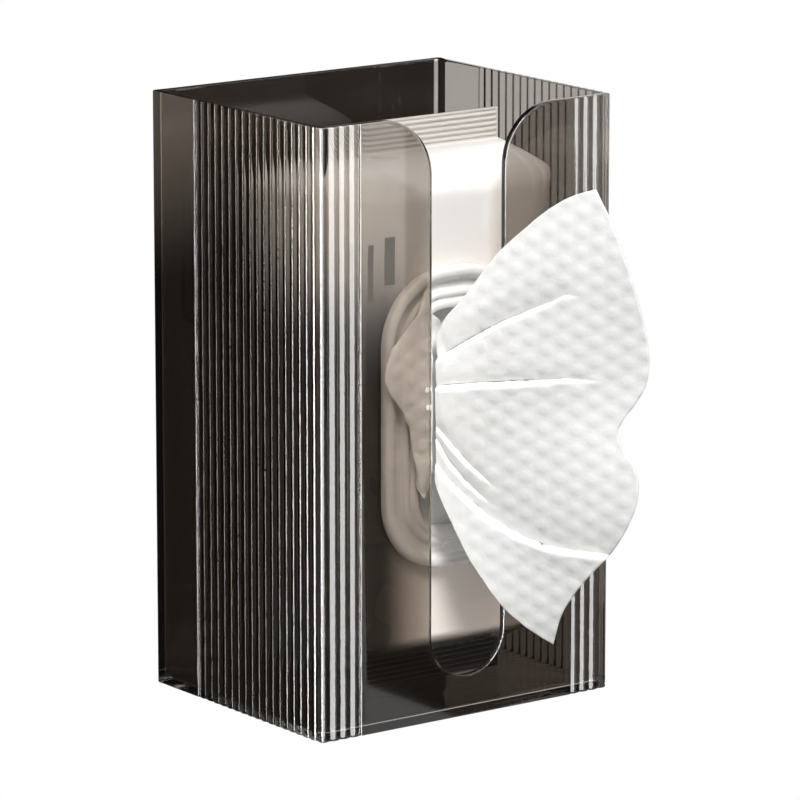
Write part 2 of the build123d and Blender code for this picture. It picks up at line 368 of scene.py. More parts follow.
def grid_quads(rows, columns, wrap=True):
    """Quads between neighbouring points of a grid. With wrap the last column meets the first."""
    row = np.arange(rows - 1)[:, None]
    column = np.arange(columns if wrap else columns - 1)[None, :]
    after = (column + 1) % columns
    quads = [row * columns + column, row * columns + after, (row + 1) * columns + after,
             (row + 1) * columns + column]
    return np.stack(np.broadcast_arrays(*quads), axis=-1).reshape(-1, 4)


def recalculate(obj):
    """Turns every face of a closed piece outwards."""
    mesh = bmesh.new()
    mesh.from_mesh(obj.data)
    bmesh.ops.remove_doubles(mesh, verts=mesh.verts, dist=MERGE)
    bmesh.ops.recalc_face_normals(mesh, faces=mesh.faces)
    mesh.to_mesh(obj.data)
    mesh.free()


def piece(name, points, faces, body, slot, material, replaces, turn_out=True):
    """Makes an object from points in millimetres, and says what it rides on and stands for."""
    mesh = bpy.data.meshes.new(name)
    mesh.from_pydata((np.asarray(points, float) * MM).tolist(), [], [list(map(int, f)) for f in faces])
    mesh.update()
    mesh.shade_smooth()
    mesh.materials.append(material)
    made = bpy.data.objects.new(name, mesh)
    bpy.context.scene.collection.objects.link(made)
    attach(made, body)
    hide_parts(*replaces)
    print(name, len(mesh.vertices), "points", len(mesh.polygons), "faces")
    if turn_out:
        recalculate(made)
    return made


def closed_rings(rings):
    """Points and faces of a skin through closed rings, with its first and last ring fanned shut."""
    rows, columns, _ = rings.shape
    points = np.concatenate([rings.reshape(-1, 3), rings[:1].mean(axis=1), rings[-1:].mean(axis=1)])
    faces = grid_quads(rows, columns).tolist()
    first = np.arange(columns)
    after = (first + 1) % columns
    last = (rows - 1) * columns
    faces += np.stack([after, first, np.full(columns, rows * columns)], axis=-1).tolist()
    faces += np.stack([last + first, last + after, np.full(columns, rows * columns + 1)], axis=-1).tolist()
    return points, faces


def smooth_step(t):
    """Goes from 0 to 1 with level ends."""
    t = np.clip(t, 0, 1)
    return t * t * (3 - 2 * t)


def smooth_through(at, stations, values):
    """A curve through values at given stations: cubic pieces that share their slope where they meet."""
    values = np.array(values, float)
    slope = np.gradient(values, stations, axis=0)
    span = np.clip(np.searchsorted(stations, at, side="right") - 1, 0, len(stations) - 2)
    shape = (-1,) + (1,) * (values.ndim - 1)
    width = np.diff(stations)[span].reshape(shape)
    u = (at - stations[span]).reshape(shape) / width
    return ((2 * u ** 3 - 3 * u ** 2 + 1) * values[span] + (u ** 3 - 2 * u ** 2 + u) * width * slope[span]
            + (3 * u ** 2 - 2 * u ** 3) * values[span + 1] + (u ** 3 - u ** 2) * width * slope[span + 1])


# %% [markdown]
# ## Finishes
# ### Grain and drift
# Real finishes share two effects, a slow cloudy drift of tone or gloss and a fine unevenness, so each
# is a node group. Image textures would need a flat layout of each piece, and noise doesn't.

# %% Node groups for drift and grain
CLOUD_LOW, CLOUD_HIGH = 0.3, 0.7


def noise_in(group, source):
    """Noise on the object's own coordinates, with the group's scale and detail."""
    inputs = {"Vector": object_place(group), "Scale": source.outputs["Scale"],
              "Detail": source.outputs["Detail"]}
    return add_node(group, "ShaderNodeTexNoise", inputs).outputs["Fac"]


def drift_group():
    """Cloudy noise whose usual range is stretched to run from Low to High."""
    inputs = {"Scale": 20.0, "Detail": 3.0, "Low": 0.0, "High": 1.0}
    group, source, out = group_of("slow_drift", inputs, "Value")
    span = add_node(group, "ShaderNodeMapRange", {
        "Value": noise_in(group, source), "From Min": CLOUD_LOW, "From Max": CLOUD_HIGH,
        "To Min": source.outputs["Low"], "To Max": source.outputs["High"]})
    set_inputs(group, out, {"Value": span.outputs["Result"]})
    return group


def grain_group():
    """A normal tilted by noise, as strongly and as deep as it is told."""
    inputs = {"Scale": 100.0, "Detail": 2.0, "Strength": 0.2, "Depth": 0.001}
    group, source, out = group_of("grain", inputs, "Normal", "NodeSocketVector")
    bump = add_node(group, "ShaderNodeBump", {
        "Height": noise_in(group, source), "Strength": source.outputs["Strength"],
        "Distance": source.outputs["Depth"]})
    set_inputs(group, out, {"Normal": bump.outputs[0]})
    return group


DRIFT = drift_group()
GRAIN = grain_group()


def drift(tree, scale, low, high):
    """A drift value that runs from low to high."""
    return place_group(tree, DRIFT, Scale=scale, Low=low, High=high)


print("groups", DRIFT.name, GRAIN.name)

# %% [markdown]
# ### Clear smoke plastic
# The box is polished clear plastic with a smoke tint. Its wall is thick enough to bend light, so it is
# glass with a colour and not just see-through. Glass would block the lamps and leave the inside
# black, so rays that ask for shade pass through a tinted transparent shader instead.

# %% Clear smoke plastic
SMOKE = (0.40, 0.37, 0.34)
PLASTIC_IOR = 1.5


def smoke_plastic():
    """Glass-like plastic. Its colour is what one whole wall lets through."""
    material, tree, shader, out = new_material("smoke_plastic")
    clear = add_node(tree, "ShaderNodeBsdfTransparent", {"Color": tuple(math.sqrt(v) for v in SMOKE)})
    shade = tree.nodes.new("ShaderNodeLightPath").outputs["Is Shadow Ray"]
    set_inputs(tree, shader, {"Base Color": SMOKE, "IOR": PLASTIC_IOR, "Transmission Weight": 1.0,
                              "Roughness": drift(tree, 14.0, 0.02, 0.03)})
    set_inputs(tree, out, {"Surface": mix_shaders(tree, shade, shader.outputs[0], clear.outputs[0])})
    return material


SMOKE_PLASTIC = smoke_plastic()
print("finish", SMOKE_PLASTIC.name)

# %% [markdown]
# ### Moulded plastics and foam
# The frame round the pack's opening is glossy white plastic, the plate on the wall satin black, and
# the pad grey closed-cell foam. They differ only in two tones, the size of their patches and their
# gloss, so one function makes all three, and the cloth further on.

# %% Moulded plastics and foam


def mottled(name, patches, first, second, gloss):
    """A material that drifts between two tones in patches of a scale. Gloss is its roughness, or the
    scale and range that its roughness drifts with."""
    material, tree, shader, _ = new_material(name)
    set_inputs(tree, shader, {
        "Base Color": blend_colours(tree, drift(tree, patches, 0.0, 1.0), first, second),
        "Roughness": drift(tree, *gloss) if isinstance(gloss, tuple) else gloss})
    return material, tree, shader


DARK_PLASTIC = mottled("dark_plastic", 60.0, (0.022, 0.020, 0.019), (0.034, 0.031, 0.029),
                       (220.0, 0.38, 0.52))[0]
WHITE_PLASTIC, _, white_shader = mottled("white_plastic", 30.0, (0.68, 0.67, 0.65), (0.73, 0.72, 0.70),
                                         (60.0, 0.22, 0.32))
white_shader.inputs["Coat Weight"].default_value = 0.15
FOAM = mottled("foam_pad", 400.0, (0.50, 0.50, 0.49), (0.68, 0.68, 0.66), 0.9)[0]
print("finishes", DARK_PLASTIC.name, WHITE_PLASTIC.name, FOAM.name)

# %% [markdown]
# ### Pearly film
# The pack's film is warm white and satin. It is nearly white at the shoulder and falls to a warmer tone lower
# down.
# Lower down it darkens to the left, which is partly print and partly painted shade; its dark foot and its
# greyer upper weld are painted shade. Each change is a ramp between two heights or two places across, laid
# over the one before. Two plain upright bars are printed on its front: a compare node is 1 where a point lies
# within them.

# %% Pearly film
FILM_WHITE = (0.71, 0.695, 0.675), (0.75, 0.735, 0.715)
FILM_LOW = (0.82, 0.755, 0.71)
# Partly print, partly painted shade: the tone the film's lower left darkens to
FILM_LEFT_PRINT_AND_PAINTED_SHADE = (0.045, 0.040, 0.036)
# Painted shade: the dark foot of the film, below its lower shoulder
FILM_FOOT_PAINTED_SHADE = (0.03, 0.028, 0.025)
# Painted shade: the upper weld's ridged band is greyed in its colour
FILM_WELD_PAINTED_SHADE = (0.50, 0.475, 0.445)
# Heights of the ramps: painted shade at the foot, the change to white, and painted shade at the upper weld
RAMP_HEIGHTS = [(20.0, 27.0), (128.0, 174.0), (186.0, 187.5)]
# Where the left's painted shade, partly print, fades out across x
SHADE_LEFT, SHADE_RIGHT = -28.0, -8.0
PRINT_BARS = [(-31.5, 152.5, 1.0, 9.5), (-24.5, 156.0, 2.0, 8.0)]
PRINT_TONE = (0.13, 0.115, 0.10)
PRINT_REACH = 16.0


def printed(tree, film):
    """Upright bars over the film's colour. Each is where x and z are both within half a width and half
    a height of the bar's middle, on the front only; the mask is the greatest of the bars."""
    axes = add_node(tree, "ShaderNodeSeparateXYZ", {0: object_place(tree)})

    def near(axis, middle, reach):
        return math_node(tree, "COMPARE", axes.outputs[axis], middle * MM, reach * MM)

    bars = [math_node(tree, "MULTIPLY", near("X", x, half_width), near("Z", BASE + z, half_height))
            for x, z, half_width, half_height in PRINT_BARS]
    mask = bars[0]
    for bar in bars[1:]:
        mask = math_node(tree, "MAXIMUM", mask, bar)
    front = near("Y", FRONT, PRINT_REACH)
    return blend_colours(tree, math_node(tree, "MULTIPLY", mask, front), film, PRINT_TONE)


def pearl_film():
    """The film's colour is built from its foot, which is painted shade, up to its welds, then printed; small
    creases tilt it.
    """
    material, tree, shader, _ = new_material("pearl_film")
    # The lower left darkens as painted shade, partly print
    across = place_group(tree, RAMP, Across=1.0, From=SHADE_LEFT * MM, To=SHADE_RIGHT * MM)
    lower = blend_colours(tree, across, FILM_LEFT_PRINT_AND_PAINTED_SHADE, FILM_LOW)
    upper = blend_colours(tree, drift(tree, 12.0, 0.0, 1.0), *FILM_WHITE)
    # Painted shade at the foot, then the change to white, then painted shade at the upper weld
    film = FILM_FOOT_PAINTED_SHADE
    for (foot, top), tone in zip(RAMP_HEIGHTS, (lower, upper, FILM_WELD_PAINTED_SHADE)):
        film = by_height(tree, BASE + foot, BASE + top, film, tone)
    creases = place_group(tree, GRAIN, Scale=90.0, Strength=0.12, Depth=0.0006)
    set_inputs(tree, shader, {
        "Base Color": printed(tree, film), "Roughness": drift(tree, 25.0, 0.24, 0.36), "Normal": creases,
        "Specular IOR Level": 0.25, "Coat Weight": 0.08, "Coat Roughness": 0.2})
    return material


PEARL_FILM = pearl_film()
print("finish", PEARL_FILM.name, "with", len(PRINT_BARS), "bars")

# %% [markdown]
# ### Cloth
# The wipes are non-woven cloth: white, matt, with loose fibre in the surface. The pressed dots are
# real shape, further on, so the finish adds only fibre, as a fine grain.

# %% Cloth
WIPE_CLOTH, cloth_tree, cloth_shader = mottled("wipe_cloth", 70.0, (0.83, 0.83, 0.82), (0.90, 0.90, 0.89),
                                               0.85)
fibre = place_group(cloth_tree, GRAIN, Scale=1400.0, Strength=0.35, Depth=0.0002)
set_inputs(cloth_tree, cloth_shader, {"Specular IOR Level": 0.0, "Normal": fibre})
print("finish", WIPE_CLOTH.name)

# %% [markdown]
# ### The carried pieces
# The plate on the wall, its pad and the channel on the box already have their right shape in the
# frame. Modelling them again would add nothing, so they only get their finish.

# %% Finish the carried pieces
CARRIED = {"wall_plate": DARK_PLASTIC, "adhesive_pad": FOAM, "hanger_channel": SMOKE_PLASTIC}
for node, finish in CARRIED.items():
    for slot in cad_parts[node].material_slots:
        slot.material = finish
    print(node, finish.name)

# %% [markdown]
# ## The fluted box
# The real box is one moulding, so this is one closed skin.
#
# ### The way round
# Each flute is an arc that stands out of the valley between two flutes, and the valleys are rounded a
# little, as they are in a mould. Flutes cut out of a plain box would have sharp edges, so the wall's
# plan is written as one path with its arcs in it. The rim isn't level: it drops down the sides of the
# slot and round its bottom, so each column has its own height.

# %% The way round the box
FLUTE = 4.0
FLUTE_RISE = 0.9
SIDE_FLUTES = 17
FRONT_FLUTES = 3
FLUTE_STEPS = 10
VALLEY_ROUND = 0.16
SLOT_HALF = 15.0
SLOT_BOTTOM = 14.0
SLOT_FLARE = 20.0
SLOT_SPREAD, FLARE_SPREAD = 13.0, 7.0
PANEL_END = SIDE - FLUTE * (FRONT_FLUTES + 1)
PLAIN_END = PANEL_END - 0.35
PANEL_TURN = [(-0.12, 0.06), (0.0, 0.32), (0.08, 0.66), (0.18, 0.85)]
CORNER_INSET = 0.75
INNER_CORNER = 2.0
BACK_CORNER = 1.0
BAND = FLUTE * (SIDE_FLUTES + 1)
BAND_ROUND = 0.22
QUARTER = math.pi / 2


def flute_height(t):
    """How far the outside stands above the valley line, t from 0 to 1 across one flute: the arc of a
    circle over the chord, with the sharp valley at its ends rounded off."""
    reach = FLUTE / 2
    radius = (reach ** 2 + FLUTE_RISE ** 2) / (2 * FLUTE_RISE)
    arc = np.sqrt(radius ** 2 - ((2 * t - 1) * reach) ** 2) - (radius - FLUTE_RISE)
    return (arc + np.sqrt(arc ** 2 + VALLEY_ROUND ** 2)) / 2


def half_way_round():
    """Columns from the middle of the slot's foot, along the free edge, to the middle of the back, on
    the right-hand side. Each has: outer x and y, inner x and y, height of the free edge, the way into
    the wall at that edge along x and z, and x at the wall's foot. Depth is from the front plane."""
    turn = SLOT_BOTTOM + SLOT_HALF
    flare = BOX_HEIGHT - SLOT_FLARE
    inner = SIDE - WALL
    flutes = np.linspace(0, 1, FLUTE_STEPS + 1)[1:]
    rows = []

    def add(ox, oy, ix, iy, h=BOX_HEIGHT, wx=0.0, wz=-1.0, foot=None):
        ox, oy, ix, iy, h, wx, wz = np.broadcast_arrays(ox, oy, ix, iy, h, wx, wz)
        rows.append(np.stack([ox, oy, ix, iy, h, wx, wz, ox if foot is None else foot], axis=-1))

    # The slot: its round bottom, its straight side, and the flare into the rim
    angle = np.linspace(0, QUARTER, 25)
    x, z = SLOT_HALF * np.sin(angle), turn - SLOT_HALF * np.cos(angle)
    add(x, 0.0, x, WALL, z, np.sin(angle), -np.cos(angle))
    z = np.linspace(turn, flare, 27)[1:]
    foot = SLOT_HALF + SLOT_SPREAD * (z - turn) / (flare - turn)
    add(SLOT_HALF, 0.0, SLOT_HALF, WALL, z, 1.0, 0.0, foot)
    angle = np.linspace(0, QUARTER, 21)[1:]
    x, z = SLOT_HALF + SLOT_FLARE * (1 - np.cos(angle)), flare + SLOT_FLARE * np.sin(angle)
    foot = SLOT_HALF + SLOT_SPREAD + FLARE_SPREAD * angle / QUARTER
    add(x, 0.0, x, WALL, z, np.cos(angle), -np.sin(angle), foot)

    # The plain panel, its turn into the first valley, and the flutes on the front
    x = np.linspace(SLOT_HALF + SLOT_FLARE, PLAIN_END, 5)[1:]
    add(x, 0.0, x, WALL)
    across, rise = np.array(PANEL_TURN).T
    add(PANEL_END + across, FLUTE_RISE * rise, PANEL_END + across, WALL)
    for i in range(FRONT_FLUTES):
        x = PANEL_END + (i + flutes) * FLUTE
        add(x, FLUTE_RISE - flute_height(flutes), np.minimum(x, inner - INNER_CORNER), WALL)

    # The corner flute: a straight line between two valleys, bulged out by a sine
    t = np.linspace(0, 1, 19)[1:]
    start, end = (SIDE - FLUTE, FLUTE_RISE), (SIDE - FLUTE_RISE, FLUTE)
    bulge = ((FLUTE - CORNER_INSET) - (FLUTE - FLUTE_RISE) / 2) * np.sin(math.pi * t) ** 0.8
    x = np.minimum(start[0] + (end[0] - start[0]) * t + bulge, SIDE)
    y = np.maximum(start[1] + (end[1] - start[1]) * t - bulge, 0.0)
    angle = QUARTER * t
    add(x, y, inner - INNER_CORNER * (1 - np.sin(angle)), WALL + INNER_CORNER * (1 - np.cos(angle)))

    # The flutes on the side, the round step up to the plain band, and the back
    for i in range(SIDE_FLUTES):
        y = (i + 1 + flutes) * FLUTE
        x = np.minimum(SIDE - FLUTE_RISE + flute_height(flutes), SIDE)
        add(x, y, inner, np.maximum(y, WALL + INNER_CORNER))
    angle = np.linspace(0, QUARTER, 9)[1:]
    y = BAND + BAND_ROUND * (1 - np.cos(angle))
    add(SIDE - FLUTE_RISE * (1 - np.sin(angle)), y, inner, y)
    y = BAND + BAND_ROUND + np.array([0.04, 0.3])
    add(SIDE, y, inner, y)
    y = np.linspace(BAND + BAND_ROUND + 2.0, BOX_DEPTH - WALL - INNER_CORNER, 6)
    add(SIDE, y, inner, y)
    angle = np.linspace(0, QUARTER, 9)
    add(SIDE - BACK_CORNER * (1 - np.cos(angle)), BOX_DEPTH - BACK_CORNER * (1 - np.sin(angle)),
        inner - INNER_CORNER * (1 - np.cos(angle)), BOX_DEPTH - WALL - INNER_CORNER * (1 - np.sin(angle)))
    x = np.linspace(inner - INNER_CORNER, 0, 14)[1:]
    add(x, BOX_DEPTH, x, BOX_DEPTH - WALL)
    return np.concatenate(rows)


def way_round():
    """The whole loop: the right half, then its mirror image without the two shared columns."""
    right = half_way_round()
    left = right[-2:0:-1] * np.array([-1, 1, -1, 1, 1, -1, 1, -1])
    return np.concatenate([right, left])


print("way round", len(way_round()), "columns")

# %% [markdown]
# ### The way up
# Going up, the skin comes in under the foot, rises on the outside, rolls over the rim and comes down
# on the inside to the floor. A Solidify modifier would thicken an outer skin too, but it can't round
# the rim or keep the inside plain where the outside has flutes.

# %% The way up the wall
RIM_ROUND = 0.45
FOOT_ROUND = 0.5
FLOOR_ROUND = 1.2
CENTRE_SHARE = 0.02
LIFTS = np.array([0.0, 0.004, 0.2, 0.4, 0.6, 0.8, 0.96, 0.997])


def housing_points():
    """Rings of the skin. Outside: in under the foot, round its edge and up. Rim: a quarter turn, the
    wall's thickness, another quarter turn. Inside: down, round into the floor and to its middle."""
    loop = way_round()
    outer, inner = loop[:, 0:2], loop[:, 2:4]
    edge_z, into = loop[:, 4], loop[:, 5:7]
    foot_outer, foot_inner = outer.copy(), inner.copy()
    front = (np.abs(outer[:, 0]) < PLAIN_END + 0.05) & (outer[:, 1] < 0.01)
    foot_outer[front, 0] = loop[front, 7]
    foot_inner[front, 0] = loop[front, 7]
    across = foot_inner - foot_outer
    across /= np.linalg.norm(across, axis=1)[:, None]
    thick = np.linalg.norm(inner - outer, axis=1)
    middle = np.array([0.0, BOX_DEPTH / 2])
    rings = []

    def ring(plan, z):
        z = np.broadcast_to(z, plan.shape[:1])
        rings.append(np.stack([plan[:, 0], plan[:, 1] + FRONT, z + BASE], axis=-1))

    def on_wall(share, depth):
        """Share 0 is the foot, 1 the start of the rolled edge, over 1 along the roll; depth is
        measured through the wall from the outside."""
        reach = RIM_ROUND * max(2 - share, 0) if share > 1 else RIM_ROUND
        top = edge_z + into[:, 1] * reach
        top_x = outer[:, 0] + into[:, 0] * reach
        through = (depth / thick)[:, None]
        plan_low = foot_outer * (1 - through) + foot_inner * through
        plan_high = outer * (1 - through) + inner * through
        plan_high[:, 0] = np.where(front, top_x, plan_high[:, 0])
        low = FOOT_ROUND if depth.max() < 0.01 else FLOOR + FLOOR_ROUND
        s = min(share, 1.0)
        ring(plan_low * (1 - s) + plan_high * s, low + (top - low) * s)

    under = foot_outer + across * FOOT_ROUND
    for shrink in (CENTRE_SHARE, 0.51):
        ring(middle + (under - middle) * shrink, 0.0)
    for angle in np.linspace(0, QUARTER, 4)[:-1]:
        ring(foot_outer + across * FOOT_ROUND * (1 - math.sin(angle)), FOOT_ROUND * (1 - math.cos(angle)))
    rolled = [(1 + math.sin(angle), RIM_ROUND * (1 - math.cos(angle)))
              for angle in np.linspace(0, QUARTER, 5)]
    steps = [(share, 0.0) for share in LIFTS] + rolled
    for share, depth in steps:
        on_wall(share, np.full(len(thick), depth))
    for share, depth in steps[::-1]:
        on_wall(share, thick - depth)
    for angle in np.linspace(0, QUARTER, 5)[1:]:
        ring(foot_inner + across * FLOOR_ROUND * (1 - math.cos(angle)),
             FLOOR + FLOOR_ROUND * (1 - math.sin(angle)))
    inside = foot_inner + across * FLOOR_ROUND
    for shrink in (0.5, CENTRE_SHARE):
        ring(middle + (inside - middle) * shrink, FLOOR)
    return np.stack(rings)


piece("fluted_housing", *closed_rings(housing_points()), "box", "smoke_plastic", SMOKE_PLASTIC, ["housing"])

# %% [markdown]
# ## The pack
# A flow-wrapped pack is a tube of film, welded flat at both ends. A box with rounded edges would miss
# how it grows from a flat line at the weld to the full body within a centimetre, so each height has
# its own cross-section. The welds are pressed with ridges, and the film puckers where it runs into them.

# %% Pouch
pouch_low, pouch_high = in_mm(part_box("refill_pouch"))
PACK_MIDDLE = (pouch_low[1] + pouch_high[1]) / 2
PACK_FRONT = pouch_low[1]
PACK_WIDTH = pouch_high[0] - pouch_low[0]
PACK_THICK = pouch_high[1] - pouch_low[1]
CRIMP_HEIGHT = 10.5
CRIMP_WIDTH = 82.0
CRIMP_HALF_THICK = 0.75
RIDGE, RIDGE_PITCH = 0.42, 1.8
RIDGES_FROM, RIDGES_TO = 0.8, 9.8
SHOULDER = 12.0
PUCKER, PUCKER_REACH = 0.8, 9.0
SLACK = 0.5
THROAT_HALF_WIDTH, THROAT_HALF_HEIGHT, THROAT_BEHIND = 17.5, 40.0, 20.0
FRAME_UP = BASE + 101.0
FILM_THICK = 0.4


def rounded(wave, power):
    """A superellipse's measure one way, from the cosine or sine of the angle."""
    return np.sign(wave) * np.abs(wave) ** power


def pouch_rings():
    """One ring of film at each height. Across is a superellipse from which the width and thickness
    come; the crimps are flat with cosine ridges, the shoulders bulge, and puckers fade away from
    the welds."""
    low, high = pouch_low[2], pouch_high[2]
    foot, head = low + CRIMP_HEIGHT, high - CRIMP_HEIGHT
    body = foot + (head - foot) * (0.5 - 0.5 * np.cos(math.pi * np.linspace(0, 1, 100)))
    z = np.concatenate([np.linspace(low, foot, 50)[:-1], body, np.linspace(head, high, 50)[1:]])
    from_weld = np.minimum(z - foot, head - z)
    grow = np.clip(from_weld / SHOULDER, 0, 1)
    round_off = np.sqrt(1 - (1 - grow) ** 2)
    in_weld = from_weld <= 0
    weld_up = np.where(z < foot, z - low, high - z)
    ridged = in_weld & (weld_up > RIDGES_FROM) & (weld_up < RIDGES_TO)
    ridge = np.where(ridged, RIDGE * np.cos(2 * math.pi * weld_up / RIDGE_PITCH), 0)
    half_x = CRIMP_WIDTH / 2 + (PACK_WIDTH / 2 - CRIMP_WIDTH / 2 - 0.4) * smooth_step(from_weld / 9.0)
    fullness = np.where(z < (low + high) / 2, grow ** 0.75, round_off ** 0.9)
    half_y = CRIMP_HALF_THICK + (PACK_THICK / 2 - CRIMP_HALF_THICK - 0.5) * fullness
    turn = np.linspace(0, 2 * math.pi, 240, endpoint=False)
    power = 2 / (3.4 + 1.6 * np.clip(1 - from_weld / 30, 0, 1))[:, None]
    x = half_x[:, None] * rounded(np.cos(turn)[None, :], power)
    s = np.sin(turn)[None, :]
    y = half_y[:, None] * rounded(s, power)
    y += np.sign(s) * ridge[:, None] * (np.abs(x) < half_x[:, None] - 1.0)
    pucker = np.exp(-np.maximum(from_weld, 0) / PUCKER_REACH)[:, None] * np.where(in_weld, 0, 1)[:, None]
    wave = np.sin(x * 0.9 + 1.3 * np.sin(x * 0.31)) * 0.7 + np.sin(x * 2.1 + 0.7) * 0.3
    y += np.sign(s) * wave * pucker * PUCKER * np.clip(np.abs(y) / 4, 0, 1)
    slack = SLACK * np.sin(x * 0.08 + z[:, None] * 0.05) * np.sin(z[:, None] * 0.11 + 1.0)
    y += np.where(s > 0, 1, 0) * slack * grow[:, None]
    return np.stack([x, y + PACK_MIDDLE, np.broadcast_to(z[:, None], x.shape)], axis=-1)


def make_pouch():
    """The film, opened inside the frame where the wipes come out, and given its thickness."""
    points, faces = closed_rings(pouch_rings())
    centres = np.array([points[list(f)].mean(axis=0) for f in faces])
    throat = (centres[:, 0] / THROAT_HALF_WIDTH) ** 4 + ((centres[:, 2] - FRAME_UP) / THROAT_HALF_HEIGHT) ** 4
    gone = (centres[:, 1] < PACK_MIDDLE - THROAT_BEHIND) & (throat < 1)
    kept = [face for face, cut in zip(faces, gone) if not cut]
    made = piece("pouch_film", points, kept, "refill", "pearl_film", PEARL_FILM, ["refill_pouch"])
    skin = made.modifiers.new("film", "SOLIDIFY")
    skin.thickness = FILM_THICK * MM
    skin.offset = -1


make_pouch()

# %% [markdown]
# ## The oval frame
# A moulded frame is one profile carried round an oval: a bead, a groove and a second bead, each
# rounded. A curve with a bevel would do that too, but it turns the profile its own way in the
# corners. Here the oval is a rectangle with very round corners, and the profile goes square to it.

# %% Frame
FRAME_HALF_WIDTH, FRAME_HALF_HEIGHT, FRAME_CORNER = 29.0, 51.0, 25.0
FRAME_STEPS = 240
PROFILE_STEPS = 73
# Each point of the profile: inset from the outer oval, and height off the film
FRAME_PROFILE = np.array([
    (0.0, 0.0), (0.0, 1.2), (0.1, 2.4), (0.6, 3.2), (1.5, 3.6), (2.7, 3.6), (3.6, 3.2), (4.2, 2.4),
    (4.5, 1.6), (5.1, 1.25), (6.2, 1.2), (7.2, 1.25), (7.7, 1.7), (8.1, 2.3), (8.9, 2.7), (9.8, 2.6),
    (10.2, 2.1), (10.6, 1.9), (11.0, 2.2), (11.6, 3.0), (12.5, 3.25), (13.5, 3.1), (14.1, 2.5),
    (14.4, 1.5), (14.4, 0.0)])


def oval_path(count, half_x, half_z, corner):
    """Points and outward directions evenly spaced round a rectangle with round corners."""
    straight_x, straight_z = 2 * (half_x - corner), 2 * (half_z - corner)
    arc = QUARTER * corner
    lengths = np.array([straight_z, arc, straight_x, arc, straight_z, arc, straight_x, arc])
    ends = np.cumsum(lengths)
    at = np.linspace(0, ends[-1], count, endpoint=False)
    part = np.searchsorted(ends, at, side="right")
    along = at - (ends - lengths)[part]
    quarter = part // 2
    heading = quarter * QUARTER
    bend = np.where(part % 2 == 1, along / corner, 0.0)
    out = np.stack([np.cos(heading + bend), np.sin(heading + bend)], axis=-1)
    slide = np.where(part % 2 == 0, lengths[part] - along, 0.0)
    centre_x = np.array([1, -1, -1, 1])[quarter] * (half_x - corner) + np.sin(heading) * slide
    centre_z = np.array([1, 1, -1, -1])[quarter] * (half_z - corner) - np.cos(heading) * slide
    return np.stack([centre_x, centre_z], axis=-1) + corner * out, out


def frame_skin():
    """The profile at evenly spaced steps, one ring for each, and a last band that closes the back."""
    steps = np.linspace(0, len(FRAME_PROFILE) - 1, PROFILE_STEPS)
    inset, lift = (np.interp(steps, np.arange(len(FRAME_PROFILE)), way)[:, None] for way in FRAME_PROFILE.T)
    path, out = oval_path(FRAME_STEPS, FRAME_HALF_WIDTH, FRAME_HALF_HEIGHT, FRAME_CORNER)
    x = path[:, 0] - out[:, 0] * inset
    z = path[:, 1] - out[:, 1] * inset + FRAME_UP
    points = np.stack([x, np.broadcast_to(PACK_FRONT - lift, x.shape), z], axis=-1).reshape(-1, 3)
    around = np.arange(FRAME_STEPS)
    after = (around + 1) % FRAME_STEPS
    last = (PROFILE_STEPS - 1) * FRAME_STEPS
    back = np.stack([last + around, last + after, after, around], axis=-1)
    return points, np.concatenate([grid_quads(PROFILE_STEPS, FRAME_STEPS), back])


piece("oval_frame", *frame_skin(), "refill", "white_plastic", WHITE_PLASTIC, ["opening_frame"])

# %% [markdown]
# ## Embossed cloth
# The wipes are pressed with staggered round dots. A bump in the finish would vanish at the edges and
# in the mesh, so the dots are shape: on every cloth piece the same height field is added along the
# surface, from two flat measures of the sheet in millimetres.

# %% Emboss and cloth helpers
DOT_ACROSS = 5.5
DOT_UP = 6.6
DOT_RADIUS = 2.9
DOT_SOFT = 2.3
DOT_HEIGHT = 0.22
CLOTH_THICK = 0.35


def emboss(a, b):
    """Height of the pressed dots, from 0 to 1, at flat measures a and b: a rounded step down with the
    distance to the nearest centre, in columns of which every second one is moved up by half a step."""
    def from_centre(x, y):
        x = x - 2 * DOT_ACROSS * np.round(x / (2 * DOT_ACROSS))
        y = y - DOT_UP * np.round(y / DOT_UP)
        return np.hypot(x, y)

    near = np.minimum(from_centre(a, b), from_centre(a + DOT_ACROSS, b + DOT_UP / 2))
    return smooth_step((DOT_RADIUS - near) / DOT_SOFT)


def sheet_normals(points):
    """Unit normals of a grid of points, from differences along its two ways."""
    along = np.gradient(points, axis=0)
    across = np.gradient(points, axis=1)
    normal = np.cross(along, across)
    return normal / np.maximum(np.linalg.norm(normal, axis=2, keepdims=True), 1e-9)


def cloth_piece(name, points, body, replaces):
    """A sheet with its thickness, from a grid of points in millimetres."""
    rows, columns, _ = points.shape
    made = piece(name, points.reshape(-1, 3), grid_quads(rows, columns, wrap=False), body, "wipe_cloth",
                 WIPE_CLOTH, replaces, turn_out=False)
    skin = made.modifiers.new("thickness", "SOLIDIFY")
    skin.thickness = CLOTH_THICK * MM
    skin.offset = 0
    return made


print("dots every", 2 * DOT_ACROSS, "by", DOT_UP, "mm")

# %% [markdown]
# ## The folded wipes in the pack
# Through the opening you see the top wipe of the stack: flat, folded, and gently hollowed where the
# next one is drawn out. Eighty sheets would never show, so it is one rounded block.

# %% Wipe stack
stack_low, stack_high = in_mm(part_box("wipe_stack"))
STACK_ROUND = 5.0
STACK_POWER = 0.78
HOLLOW, HOLLOW_WIDTH, HOLLOW_HEIGHT = 3.0, 12.0, 30.0
STACK_DOT = 0.3
FACE_FROM = -0.3


